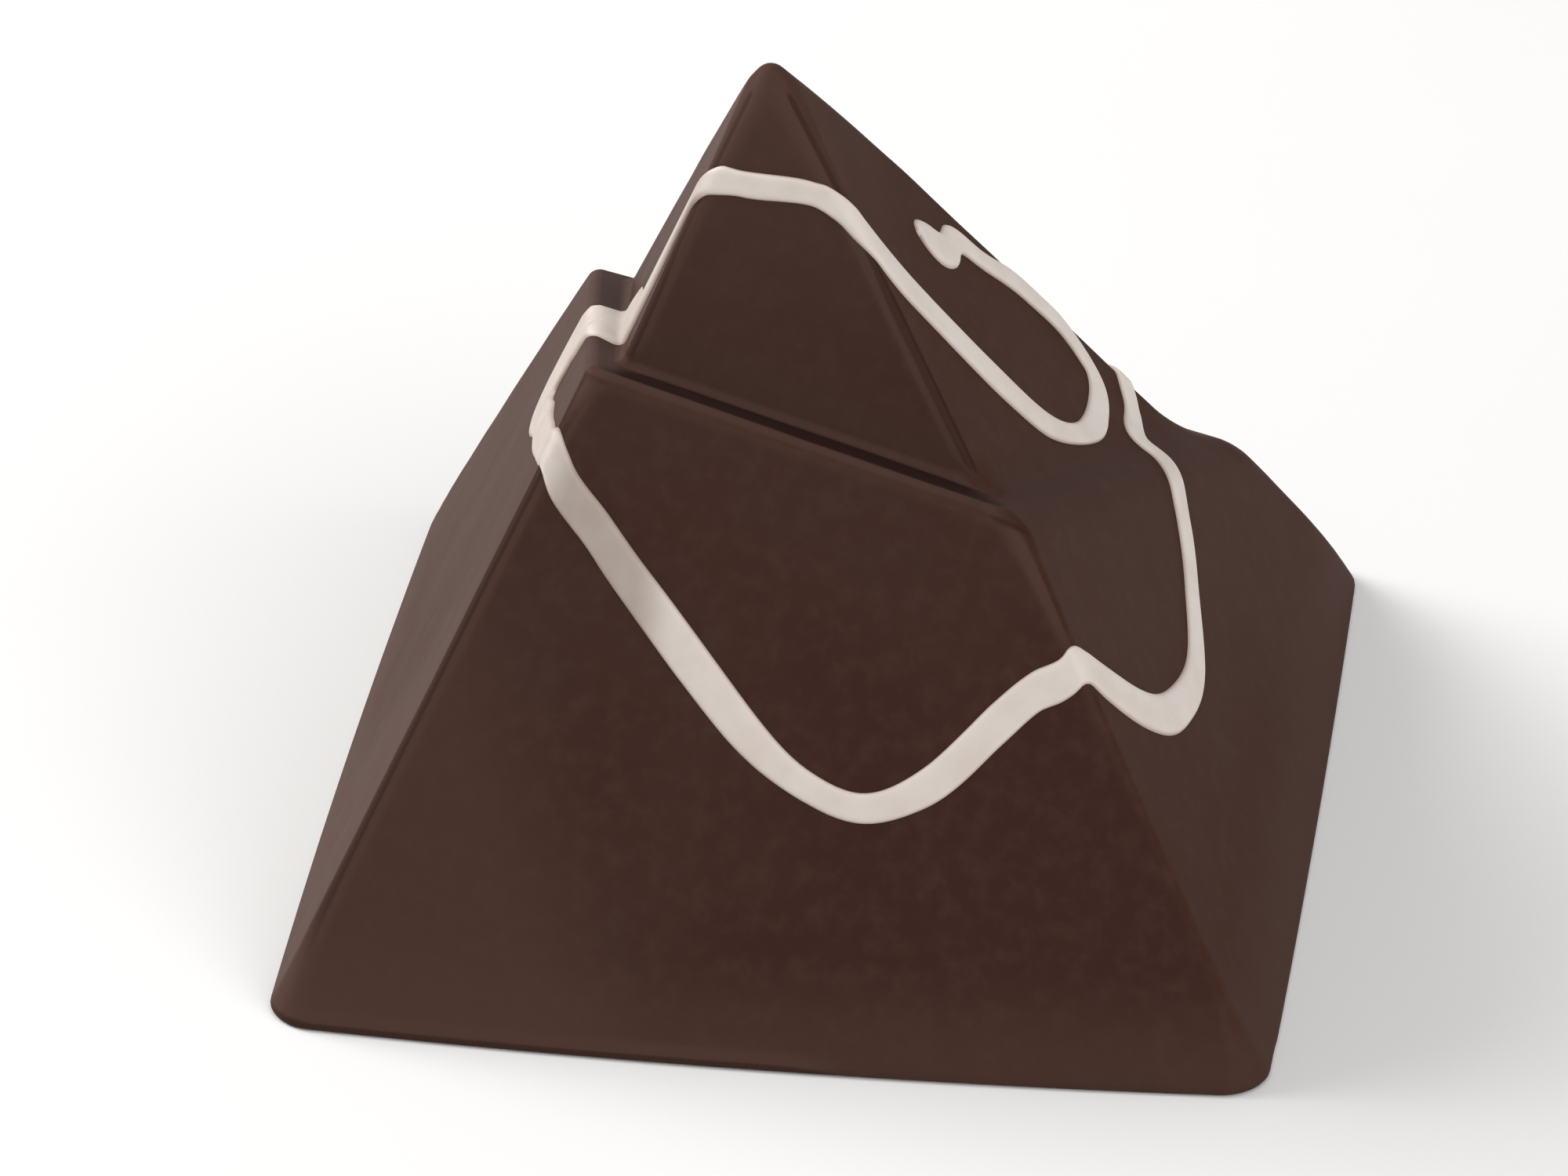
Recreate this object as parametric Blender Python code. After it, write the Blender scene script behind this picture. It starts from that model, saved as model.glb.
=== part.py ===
"""Chocolate pyramid cake for one person, with a line of white chocolate run over it.

Run it with blender --background --python part.py, or from Blender's text editor.

The cake is one moulded piece: a square lower tier whose four walls lean in towards a point, cut off by
a slanting ledge, and a smaller pyramid that stands on the ledge.  A dark coating rounds every edge.
The white line is a flat band that lies on the coating and is fused to it.

Metres, +Z up.  The origin is the middle of the flat base, and the front faces -Y.  Lengths are written
in millimetres times MM.  Values for the four sides always come in the order front, right, back, left.
"""
import bpy
import numpy as np

MM = 0.001

# Lower tier: the apex where its walls would meet, and how far each wall's foot is from the origin
LOWER_APEX = np.array((-2.7, -0.6, 75.2)) * MM
LOWER_REACH = np.array((41.1, 40.2, 40.9, 40.0)) * MM
LOWER_BOW = np.array((1.5, 0.3, 0.1, 0.5)) * MM

# Upper tier: its tip before rounding, and its walls' feet carried down to the base plane
UPPER_APEX = np.array((-4.3, 0.0, 69.1)) * MM
UPPER_REACH = np.array((33.1, 38.3, 38.9, 34.2)) * MM
UPPER_BOW = np.array((0.3, 0.3, 0.3, 0.3)) * MM

# The ledge between the tiers: its height over the origin, and its rise for each metre along X and Y
LEDGE_HEIGHT = 37.3 * MM
LEDGE_SLOPE = np.array((-0.29, -0.36))

# Roundings: the rim of the ledge and the hollow at the upper tier's foot, for each side
RIM_ROUND = np.array((0.8, 1.6, 1.0, 0.8)) * MM
FOOT_ROUND = np.array((0.7, 2.2, 1.4, 0.7)) * MM
SIDE_BLEND = 0.8 * MM

# Roundings of the slanting edges: at the base, half way up and at the rim, then on the upper tier
CORNER_ROUND = 3.4 * MM
EDGE_ROUND = 0.5 * MM
SHOULDER_ROUND = np.array((2.2, 1.8, 0.5, 1.2)) * MM
ROUND_FADE = 3.5 * MM
UPPER_ROUND = 0.6 * MM
TIP_ROUND = 2.1 * MM
TIP_START = 52.0 * MM
TIP_SPAN = 14.0 * MM
BASE_ROUND = 0.6 * MM

# The white line: its height over the coating, how far its edges dip in and run on under it, and how
# deep it goes inside
LINE_HEIGHT = 0.35 * MM
EDGE_SUNK = 0.2 * MM
EDGE_HIDDEN = 0.08 * MM
LINE_DEPTH = 1.6 * MM
DEPTH_FOR_WIDTH = 0.1

# Share of a bend's radius that the line's reach on the inner side of the bend may take
BEND_ROOM = 0.85

# Its ribs: fine ones are laid first, and one is kept after the longest gap or the widest turn, if sooner
FINE_STEP = 0.3 * MM
HEADING_SPAN = 13
LONGEST_GAP = 4.0 * MM
WIDEST_TURN = np.radians(22.0)
POINTS_PER_REACH = 4

# The way that the white line takes, seen from above: x, y, then its reach to the left and to the right.
# It starts with a crooked tail on the upper right wall and ends on the lower back wall.
LINE_WAY = np.array((
    (7.0, 3.3, 0.85, 0.85),
    (8.1, 4.9, 2.04, 2.04),
    (9.0, 6.8, 1.4, 1.4),
    (9.2, 9.0, 1.31, 1.31),
    (11.2, 11.6, 0.85, 0.85),
    (13.8, 14.9, 1.3, 0.8),
    (16.9, 17.6, 1.3, 0.75),
    (19.5, 17.7, 0.99, 0.99),
    (20.3, 14.0, 1.55, 1.55),
    (19.7, 8.4, 0.99, 0.99),
    (17.3, 3.4, 1.27, 1.27),
    (13.1, -0.5, 1.53, 1.53),
    (7.9, -4.2, 1.45, 1.45),
    (5.8, -5.3, 1.5, 1.5),
    (3.8, -5.6, 1.12, 1.12),
    (1.9, -5.4, 0.83, 0.83),
    (-0.4, -5.1, 0.95, 0.95),
    (-5.8, -4.9, 1.01, 1.01),
    (-9.2, -4.6, 0.8, 0.8),
    (-11.0, -3.9, 1.5, 0.9),
    (-12.7, -3.5, 2.1, 0.9),
    (-14.3, -2.9, 2.6, 1.0),
    (-15.7, -2.3, 2.9, 2.2),
    (-16.9, -1.8, 2.3, 6.6),
    (-18.3, -1.3, 2.0, 8.5),
    (-20.2, -0.8, 1.8, 8.0),
    (-22.2, -2.5, 2.2, 2.2),
    (-21.5, -7.0, 1.86, 1.86),
    (-20.4, -13.0, 1.75, 1.75),
    (-18.6, -18.8, 1.34, 1.34),
    (-14.5, -21.6, 1.51, 1.51),
    (-8.4, -25.2, 1.6, 1.6),
    (-2.6, -28.4, 1.53, 1.53),
    (2.4, -30.3, 1.13, 1.13),
    (7.2, -31.0, 1.16, 1.16),
    (12.0, -30.0, 1.39, 1.39),
    (17.2, -27.4, 1.45, 1.45),
    (19.9, -26.1, 1.44, 1.44),
    (22.6, -25.2, 1.37, 1.37),
    (25.3, -22.3, 1.76, 1.76),
    (28.6, -16.9, 1.78, 1.78),
    (30.1, -10.2, 1.63, 1.63),
    (30.3, -4.4, 1.33, 1.33),
    (29.2, 3.0, 1.06, 1.06),
    (27.6, 10.4, 1.15, 1.15),
    (25.6, 15.6, 1.18, 1.18),
    (23.3, 16.9, 1.24, 1.24),
    (22.3, 20.8, 1.07, 1.07),
    (20.8, 23.4, 1.3, 1.3),
    (15.0, 21.4, 1.4, 1.4),
    (8.0, 17.8, 1.4, 1.4),
    (0.0, 15.6, 1.4, 1.4),
    (-8.0, 17.0, 1.5, 1.5),
    (-15.0, 19.6, 1.6, 1.6),
    (-17.0, 22.4, 1.6, 1.6),
    (-13.0, 27.0, 1.5, 1.5),
    (-5.0, 29.4, 1.4, 1.4),
    (4.0, 28.6, 1.4, 1.4),
    (10.0, 25.8, 1.3, 1.3),
)) * MM

# Where the grid's lines lie: across half of a side, and up the lower wall, the ledge and the upper wall
HALF_SIDE_SHARES = (0.0, 0.006, 0.016, 0.04, 0.09, 0.18, 0.32)
LOWER_RISES = (0.0, 0.01, 0.03, 0.08, 0.2, 0.4, 0.6, 0.8, 0.92, 0.97)
LEDGE_RISES = (1.0, 1.2, 1.45, 1.7, 1.9)
UPPER_RISES = (2.0, 2.02, 2.05, 2.1, 2.25, 2.45, 2.65, 2.8, 2.88, 2.94, 2.98)

OUTWARD = np.array(((0, -1), (1, 0), (0, 1), (-1, 0)), float)
ALONG = np.array(((1, 0), (0, 1), (-1, 0), (0, -1)), float)
LEDGE_NORMAL = np.append(-LEDGE_SLOPE, 1.0)


# Form of the cake: a distance function, negative inside and zero on the skin


def wall_distances(points, apex, reach, bow):
    """Distance of each point outside each of a tier's four walls.  A wall is the plane through its foot
    line and the tier's apex; its foot line bends back by the bow, as a parabola, towards the corners."""
    out = points[:, :2] @ OUTWARD.T
    along = points[:, :2] @ ALONG.T
    lean = (reach - OUTWARD @ apex[:2]) / apex[2]
    foot = reach - bow * (along / reach) ** 2
    return (out - foot + lean * points[:, 2:3]) / np.sqrt(1.0 + lean ** 2)


def rounded_meet(distances, radius):
    """What lies inside all of the surfaces, with the edges between them rounded by the radius."""
    radius = np.reshape(radius, (-1, 1))
    over = np.linalg.norm(np.maximum(distances + radius, 0.0), axis=1)
    return np.minimum(-radius[:, 0], distances.max(axis=1)) + over


def rounded_join(distances, radius):
    """What lies inside any of the surfaces, with the corners between them filled by the radius."""
    radius = np.reshape(radius, (-1, 1))
    under = np.linalg.norm(np.maximum(radius - distances, 0.0), axis=1)
    return np.maximum(radius[:, 0], distances.min(axis=1)) - under


def at_nearest_side(values, distances):
    """The values of the four sides, blended so that the nearest wall's value counts most."""
    weights = np.exp((distances - distances.max(axis=1, keepdims=True)) / SIDE_BLEND)
    return (weights @ values) / weights.sum(axis=1)


def skin(points):
    """Distance outside the cake: the lower walls meet each other, then the ledge; the upper walls meet
    each other; the two tiers join, and the whole meets the base plane."""
    height = points[:, 2]
    lower = wall_distances(points, LOWER_APEX, LOWER_REACH, LOWER_BOW)
    upper = wall_distances(points, UPPER_APEX, UPPER_REACH, UPPER_BOW)
    ledge = (points @ LEDGE_NORMAL - LEDGE_HEIGHT) / np.linalg.norm(LEDGE_NORMAL)
    near_base = np.exp(-np.maximum(height, 0.0) / ROUND_FADE)
    near_rim = np.exp(np.minimum(ledge, 0.0) / ROUND_FADE)
    shoulder = at_nearest_side(SHOULDER_ROUND, lower)
    edge = EDGE_ROUND + (CORNER_ROUND - EDGE_ROUND) * near_base + (shoulder - EDGE_ROUND) * near_rim
    tip = UPPER_ROUND + (TIP_ROUND - UPPER_ROUND) * np.clip((height - TIP_START) / TIP_SPAN, 0.0, 1.0) ** 2
    lower_tier = np.column_stack((rounded_meet(lower, edge), ledge))
    lower_tier = rounded_meet(lower_tier, at_nearest_side(RIM_ROUND, lower))
    tiers = np.column_stack((lower_tier, rounded_meet(upper, tip)))
    whole = rounded_join(tiers, at_nearest_side(FOOT_ROUND, upper))
    return rounded_meet(np.column_stack((whole, -height)), BASE_ROUND)


def gradient(points):
    """Direction in which the distance grows, from small differences along X, Y and Z."""
    delta = 0.001 * MM
    steps = delta * np.eye(3)
    return np.column_stack([(skin(points + s) - skin(points - s)) / (2.0 * delta) for s in steps])


def onto_skin(points, rounds):
    """The points moved to the cake's skin by Newton steps along the gradient."""
    for _ in range(rounds):
        slope = gradient(points)
        square = np.maximum((slope ** 2).sum(axis=1), 0.05)
        points = points - (np.clip(skin(points), -2 * MM, 2 * MM) / square)[:, None] * slope
    return points


def drop_on_skin(plan):
    """The points of the skin right above points of the plan, by halving the height's range."""
    low = np.zeros(len(plan))
    high = np.full(len(plan), UPPER_APEX[2])
    for _ in range(30):
        middle = (low + high) / 2.0
        inside = skin(np.column_stack((plan, middle))) < 0.0
        low = np.where(inside, middle, low)
        high = np.where(inside, high, middle)
    return np.column_stack((plan, low))


def unit(vectors):
    """The vectors at length one."""
    return vectors / np.linalg.norm(vectors, axis=1, keepdims=True)


# Body of the cake


def foot_points(turns, reach):
    """Points of a tier's square foot: the turn runs from 0 at the front left corner to 4, a side each."""
    front, right, back, left = reach
    corners = np.array(((-left, -front), (right, -front), (right, back), (-left, back)))
    side = turns.astype(int) % 4
    share = (turns - turns.astype(int))[:, None]
    plan = corners[side] * (1.0 - share) + corners[(side + 1) % 4] * share
    return np.column_stack((plan, np.zeros(len(turns))))


def cut_at_ledge(foot, apex):
    """Where the lines from the foot points to the apex pass through the ledge's plane."""
    share = (LEDGE_HEIGHT - foot @ LEDGE_NORMAL) / ((apex - foot) @ LEDGE_NORMAL)
    return foot + share[:, None] * (apex - foot)


def body_rows():
    """Rings of points on the skin, from the flat base's border to the tip.  Each point starts on the
    sharp-edged form: 0 to 1 up the lower wall, 1 to 2 across the ledge, 2 to 3 up the upper wall."""
    half = np.array(HALF_SIDE_SHARES)
    side = np.concatenate((half, [0.5], 1.0 - half[:0:-1]))
    turns = np.concatenate([corner + side for corner in range(4)])
    base = foot_points(turns, LOWER_REACH)
    rim = cut_at_ledge(base, LOWER_APEX)
    foot = cut_at_ledge(foot_points(turns, UPPER_REACH), UPPER_APEX)
    stops = (base, rim, foot, np.broadcast_to(UPPER_APEX, base.shape))
    rows = []
    for rise in LOWER_RISES + LEDGE_RISES + UPPER_RISES:
        part = int(rise)
        share = rise - part
        rows.append(onto_skin(stops[part] * (1.0 - share) + stops[part + 1] * share, 12))
    border = rows[0] - unit(rows[0]) * BASE_ROUND
    border[:, 2] = 0.0
    return [border] + rows


def ring_faces(ring_count, size):
    """Quads between neighbouring rings of points, numbered ring by ring."""
    ring, spot = np.divmod(np.arange((ring_count - 1) * size), size)
    after = (spot + 1) % size
    start = ring * size
    return np.column_stack((start + spot, start + after, start + size + after, start + size + spot)).tolist()


def make_mesh(name, points, faces):
    """A mesh from points in metres and their faces, shaded smooth but for its sharp edges."""
    mesh = bpy.data.meshes.new(name)
    mesh.from_pydata(points.tolist(), [], faces)
    mesh.shade_smooth()
    mesh.set_sharp_from_angle(angle=np.radians(40))
    return mesh


def body_mesh():
    """The cake without its line: the rings, closed by a flat base and a tip."""
    rows = body_rows()
    size = len(rows[0])
    tip = onto_skin(UPPER_APEX[None, :] * 1.0, 30)
    points = np.concatenate(rows + [tip])
    faces = ring_faces(len(rows), size)
    last = (len(rows) - 1) * size
    faces += [(last + spot, last + (spot + 1) % size, last + size) for spot in range(size)]
    faces.append(tuple(range(size - 1, -1, -1)))
    return make_mesh("pyramid_cake", points, faces)


# The white line


def smooth_way(points, per_gap=24):
    """A centripetal Catmull-Rom curve through the rows of points, with all their columns."""
    rows = np.vstack((2 * points[0] - points[1], points, 2 * points[-1] - points[-2]))
    gaps = np.sqrt(np.linalg.norm(np.diff(rows[:, :2], axis=0), axis=1))
    knots = np.concatenate(([0.0], np.cumsum(gaps)))
    pieces = []
    for first in range(len(rows) - 3):
        t0, t1, t2, t3 = knots[first:first + 4]
        p0, p1, p2, p3 = rows[first:first + 4]
        t = np.linspace(t1, t2, per_gap, endpoint=False)[:, None]
        a = (p0 * (t1 - t) + p1 * (t - t0)) / (t1 - t0)
        b = (p1 * (t2 - t) + p2 * (t - t1)) / (t2 - t1)
        c = (p2 * (t3 - t) + p3 * (t - t2)) / (t3 - t2)
        d = (a * (t2 - t) + b * (t - t0)) / (t2 - t0)
        e = (b * (t3 - t) + c * (t - t1)) / (t3 - t1)
        pieces.append((d * (t2 - t) + e * (t - t1)) / (t2 - t1))
    return np.vstack(pieces + [points[-1:]])


def even_way(step):
    """The way with its points a step apart on the skin: plan, both reaches and the distance run."""
    way = smooth_way(LINE_WAY)
    places = drop_on_skin(way[:, :2])
    run = np.concatenate(([0.0], np.cumsum(np.linalg.norm(np.diff(places, axis=0), axis=1))))
    even = np.linspace(0.0, run[-1], int(run[-1] / step) + 1)
    plan = np.column_stack([np.interp(even, run, column) for column in way.T])
    return plan[:, :2], plan[:, 2:], even


def running_mean(rows, span):
    """The mean of each row and its neighbours, the span being an odd number of rows."""
    padded = np.pad(rows, ((span // 2, span // 2), (0, 0)), mode="edge")
    return sum(padded[shift:shift + len(rows)] for shift in range(span)) / span


def across_shares(per_side):
    """Shares of the reach from -1 to 1 across the line, closer together towards its edges, as a sine."""
    return np.sin(np.linspace(-1.0, 1.0, 2 * per_side + 1) * np.pi / 2.0)


def line_ribs(step, per_side):
    """Ribs of points across the line, on the skin.  In the plan a rib is square to the way, and its
    reach is shortened where it climbs a wall, so that the band keeps its width on the wall itself.
    Inside a bend the reach stays under the bend's radius, and it shrinks to nothing as a half circle
    at the ends."""
    plan, reach, run = even_way(step)
    reach = reach + EDGE_HIDDEN
    slope = gradient(drop_on_skin(plan))
    slope = -slope[:, :2] / slope[:, 2:]
    heading = unit(running_mean(unit(np.gradient(plan, axis=0)), HEADING_SPAN))
    climb = (slope * heading).sum(axis=1)
    narrowing = np.sqrt((1.0 + climb ** 2) / (1.0 + (slope ** 2).sum(axis=1)))
    ahead = np.gradient(heading, axis=0) / np.linalg.norm(np.gradient(plan, axis=0), axis=1)[:, None]
    bend = heading[:, 0] * ahead[:, 1] - heading[:, 1] * ahead[:, 0]
    room = BEND_ROOM / np.maximum(np.column_stack((bend, -bend)), 1.0)
    reach = running_mean(np.minimum(reach, room), HEADING_SPAN)
    to_end = np.minimum(run, run[-1] - run)[:, None]
    reach = reach * np.sqrt(1.0 - (1.0 - np.clip(to_end / reach, 0.02, 1.0)) ** 2)
    reach = reach * running_mean(narrowing[:, None], HEADING_SPAN)
    leftwards = np.column_stack((-heading[:, 1], heading[:, 0]))
    share = across_shares(per_side)[None, :]
    offset = np.where(share > 0.0, share * reach[:, :1], share * reach[:, 1:])
    ribs = plan[:, None] + offset[:, :, None] * leftwards[:, None]
    return drop_on_skin(ribs.reshape(-1, 2)).reshape(ribs.shape[0], ribs.shape[1], 3)


def turn_between(vectors):
    """Angles between each vector and the next along the first axis, for vectors of length one."""
    return np.arccos(np.clip((vectors[1:] * vectors[:-1]).sum(axis=-1), -1.0, 1.0))


def kept_ribs(ribs, normals):
    """Numbers of the ribs to keep: their gaps shorten where the skin or the way turns."""
    middle = ribs[:, ribs.shape[1] // 2]
    gaps = np.linalg.norm(np.diff(middle, axis=0), axis=1)
    heading = unit(running_mean(np.gradient(middle, axis=0), HEADING_SPAN))
    turns = turn_between(normals).max(axis=1) + turn_between(heading)
    effort = np.concatenate(([0.0], np.cumsum(gaps / LONGEST_GAP + turns / WIDEST_TURN)))
    levels = np.linspace(0.0, effort[-1], int(effort[-1]) + 1)
    return np.unique(np.interp(levels, effort, np.arange(len(effort))).round().astype(int))


def line_mesh():
    """The line as a closed body: a low, almost flat top over the skin, its edges just under the skin, and
    an underside straight below it inside the cake."""
    ribs = line_ribs(FINE_STEP, POINTS_PER_REACH)
    normals = unit(gradient(ribs.reshape(-1, 3))).reshape(ribs.shape)
    keep = kept_ribs(ribs, normals)
    ribs, normals = ribs[keep], normals[keep]
    count = len(ribs)
    across = across_shares(POINTS_PER_REACH)[None, :, None]
    lift = (LINE_HEIGHT + EDGE_SUNK) * (1.0 - across ** 8) - EDGE_SUNK
    top = (ribs + normals * lift)[:, ::-1]
    wide = np.linalg.norm(ribs[:, -1] - ribs[:, 0], axis=1)[:, None, None]
    down = np.array((0.0, 0.0, -1.0)) * (LINE_DEPTH + DEPTH_FOR_WIDTH * wide)
    under = (ribs + down)[:, ::POINTS_PER_REACH]
    rings = np.concatenate((top, under), axis=1)
    size = rings.shape[1]
    faces = ring_faces(count, size)
    last = (count - 1) * size
    faces.append(tuple(range(size - 1, -1, -1)))
    faces.append(tuple(range(last, last + size)))
    return make_mesh("white_line", rings.reshape(-1, 3), faces)


# Materials and assembly


def chocolate(name, colour, roughness):
    """A chocolate of one colour, given as linear red, green and blue."""
    material = bpy.data.materials.new(name)
    material.use_nodes = True
    shader = material.node_tree.nodes["Principled BSDF"]
    shader.inputs["Base Color"].default_value = (*colour, 1.0)
    shader.inputs["Roughness"].default_value = roughness
    shader.inputs["Metallic"].default_value = 0.0
    return material


def fuse(body, pieces):
    """Joins the pieces to the body by one Boolean union on their collection, and removes them."""
    modifier = body.modifiers.new("fuse", "BOOLEAN")
    modifier.operation = "UNION"
    modifier.solver = "EXACT"
    modifier.operand_type = "COLLECTION"
    modifier.collection = pieces
    bpy.context.view_layer.update()
    evaluated = body.evaluated_get(bpy.context.evaluated_depsgraph_get())
    fused = bpy.data.meshes.new_from_object(evaluated)
    body.modifiers.clear()
    old = body.data
    body.data = fused
    bpy.data.meshes.remove(old)
    for piece in list(pieces.objects):
        bpy.data.objects.remove(piece)
    bpy.data.collections.remove(pieces)


def main():
    for old in list(bpy.data.objects):
        bpy.data.objects.remove(old)

    cake = bpy.data.objects.new("pyramid_cake", body_mesh())
    bpy.context.scene.collection.objects.link(cake)
    cake.data.materials.append(chocolate("dark_chocolate", (0.055, 0.028, 0.021), 0.45))

    toppings = bpy.data.collections.new("toppings")
    bpy.context.scene.collection.children.link(toppings)
    line = bpy.data.objects.new("white_line", line_mesh())
    line.data.materials.append(chocolate("white_chocolate", (0.66, 0.58, 0.52), 0.45))
    toppings.objects.link(line)

    fuse(cake, toppings)
    cake.data.name = "pyramid_cake"


main()
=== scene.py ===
"""Looks of the chocolate pyramid cake: its dark coating, its line of white chocolate and a plain studio.

The coating and the line are surfaces worked out with numpy from the same named sizes as the solid's, on
finer grids and with the coating's faint waves.  Lengths are in metres, written in millimetres times MM,
+Z is up, the front faces -Y, and values for the four sides come in the order front, right, back, left.
"""

import bpy
import numpy as np
from bpy.props import FloatProperty, FloatVectorProperty, IntProperty, PointerProperty
from mathutils import Matrix, Vector


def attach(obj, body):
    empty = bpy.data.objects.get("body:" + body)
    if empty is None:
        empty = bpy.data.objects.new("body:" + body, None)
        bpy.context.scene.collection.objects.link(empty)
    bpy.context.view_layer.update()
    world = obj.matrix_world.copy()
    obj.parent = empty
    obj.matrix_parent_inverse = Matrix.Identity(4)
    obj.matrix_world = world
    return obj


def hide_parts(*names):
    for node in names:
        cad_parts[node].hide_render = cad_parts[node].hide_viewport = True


bl_info = {
    "name": "Chocolate pyramid cake",
    "version": (1, 0, 0),
    "blender": (4, 5, 0),
    "location": "3D View > Sidebar > Cake",
    "description": "Adds the cake's dark coating, its line of white chocolate and a plain studio",
    "category": "Add Mesh",
}

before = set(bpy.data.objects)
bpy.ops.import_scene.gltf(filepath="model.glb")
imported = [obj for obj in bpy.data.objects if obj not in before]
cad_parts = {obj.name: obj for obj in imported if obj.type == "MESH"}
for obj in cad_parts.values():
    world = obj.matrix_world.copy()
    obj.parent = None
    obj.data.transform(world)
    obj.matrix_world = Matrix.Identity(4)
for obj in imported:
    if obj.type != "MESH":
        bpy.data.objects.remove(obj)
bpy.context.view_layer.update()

MM = 0.001
NODE = "pyramid_cake"

# Lower tier: the apex where its walls would meet, and how far each wall's foot is from the origin
LOWER_APEX = np.array((-2.7, -0.6, 75.2)) * MM
LOWER_REACH = np.array((41.1, 40.2, 40.9, 40.0)) * MM
LOWER_BOW = np.array((1.5, 0.3, 0.1, 0.5)) * MM

# Upper tier: its tip before rounding, and its walls' feet carried down to the base plane
UPPER_APEX = np.array((-4.3, 0.0, 69.1)) * MM
UPPER_REACH = np.array((33.1, 38.3, 38.9, 34.2)) * MM
UPPER_BOW = np.array((0.3, 0.3, 0.3, 0.3)) * MM

# The ledge between the tiers: its height over the origin, and its rise for each metre along X and Y
LEDGE_HEIGHT = 37.3 * MM
LEDGE_SLOPE = np.array((-0.29, -0.36))

# Roundings: the rim of the ledge and the hollow at the upper tier's foot, for each side
RIM_ROUND = np.array((0.8, 1.6, 1.0, 0.8)) * MM
FOOT_ROUND = np.array((0.7, 2.2, 1.4, 0.7)) * MM
SIDE_BLEND = 0.8 * MM

# Roundings of the slanting edges: at the base, half way up and at the rim, and the rise over which they
# change; then on the upper tier's edges and at its tip, and the heights between which they change
CORNER_ROUND = 3.4 * MM
EDGE_ROUND = 0.5 * MM
SHOULDER_ROUND = np.array((2.2, 1.8, 0.5, 1.2)) * MM
ROUND_FADE = 3.5 * MM
UPPER_ROUND = 0.6 * MM
TIP_ROUND = 2.1 * MM
TIP_START = 52.0 * MM
TIP_SPAN = 14.0 * MM

# Rounding of the base's border
BASE_ROUND = 0.6 * MM

# The way that the white line takes, seen from above: x, y, then its reach to the left and to the right.
# It starts with a crooked tail on the upper right wall and ends on the lower back wall.
LINE_WAY = np.array((
    (7.0, 3.3, 0.85, 0.85),
    (8.1, 4.9, 2.04, 2.04),
    (9.0, 6.8, 1.4, 1.4),
    (9.2, 9.0, 1.31, 1.31),
    (11.2, 11.6, 0.85, 0.85),
    (13.8, 14.9, 1.3, 0.8),
    (16.9, 17.6, 1.3, 0.75),
    (19.5, 17.7, 0.99, 0.99),
    (20.3, 14.0, 1.55, 1.55),
    (19.7, 8.4, 0.99, 0.99),
    (17.3, 3.4, 1.27, 1.27),
    (13.1, -0.5, 1.53, 1.53),
    (7.9, -4.2, 1.45, 1.45),
    (5.8, -5.3, 1.5, 1.5),
    (3.8, -5.6, 1.12, 1.12),
    (1.9, -5.4, 0.83, 0.83),
    (-0.4, -5.1, 0.95, 0.95),
    (-5.8, -4.9, 1.01, 1.01),
    (-9.2, -4.6, 0.8, 0.8),
    (-11.0, -3.9, 1.5, 0.9),
    (-12.7, -3.5, 2.1, 0.9),
    (-14.3, -2.9, 2.6, 1.0),
    (-15.7, -2.3, 2.9, 2.2),
    (-16.9, -1.8, 2.3, 6.6),
    (-18.3, -1.3, 2.0, 8.5),
    (-20.2, -0.8, 1.8, 8.0),
    (-22.2, -2.5, 2.2, 2.2),
    (-21.5, -7.0, 1.86, 1.86),
    (-20.4, -13.0, 1.75, 1.75),
    (-18.6, -18.8, 1.34, 1.34),
    (-14.5, -21.6, 1.51, 1.51),
    (-8.4, -25.2, 1.6, 1.6),
    (-2.6, -28.4, 1.53, 1.53),
    (2.4, -30.3, 1.13, 1.13),
    (7.2, -31.0, 1.16, 1.16),
    (12.0, -30.0, 1.39, 1.39),
    (17.2, -27.4, 1.45, 1.45),
    (19.9, -26.1, 1.44, 1.44),
    (22.6, -25.2, 1.37, 1.37),
    (25.3, -22.3, 1.76, 1.76),
    (28.6, -16.9, 1.78, 1.78),
    (30.1, -10.2, 1.63, 1.63),
    (30.3, -4.4, 1.33, 1.33),
    (29.2, 3.0, 1.06, 1.06),
    (27.6, 10.4, 1.15, 1.15),
    (25.6, 15.6, 1.18, 1.18),
    (23.3, 16.9, 1.24, 1.24),
    (22.3, 20.8, 1.07, 1.07),
    (20.8, 23.4, 1.3, 1.3),
    (15.0, 21.4, 1.4, 1.4),
    (8.0, 17.8, 1.4, 1.4),
    (0.0, 15.6, 1.4, 1.4),
    (-8.0, 17.0, 1.5, 1.5),
    (-15.0, 19.6, 1.6, 1.6),
    (-17.0, 22.4, 1.6, 1.6),
    (-13.0, 27.0, 1.5, 1.5),
    (-5.0, 29.4, 1.4, 1.4),
    (4.0, 28.6, 1.4, 1.4),
    (10.0, 25.8, 1.3, 1.3),
)) * MM

# Faint waves of the coating: direction and turns for each metre, start of the wave, and share of the depth
WAVES = np.array((
    (70, 20, -45, 0.3, 1.0),
    (-38, 82, 25, 1.9, 0.9),
    (24, -50, 95, 4.1, 0.8),
    (-120, -66, 58, 2.6, 0.45),
    (104, -130, -30, 5.2, 0.4),
    (46, 150, -122, 0.9, 0.35),
    (-210, 96, 160, 3.7, 0.2),
    (250, 190, 60, 1.2, 0.15),
))

# The coating's painted light and shade: how far from the skin its bend is measured, how far the painted dark
# line of an edge at the tip, the painted highlight on the flank beside an edge and the painted highlight on
# the rim reach, and the strip under the rim that has no flank highlight
BEND_REACH = 0.5 * MM
TIP_LINE = 0.45 * MM
FLANK_REACH = 1.3 * MM
RIM_REACH = 0.7 * MM
RIM_CLEAR = 1.6 * MM

# The painted shade of the edges: heights where the edges' lines turn into the tip's, and where those end, and
# their strength
NEAR_TIP = (50.0 * MM, 55.0 * MM)
TIP_LINE_END = (64.5 * MM, 66.0 * MM)
TIP_LINE_SHARE = 0.7
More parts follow.
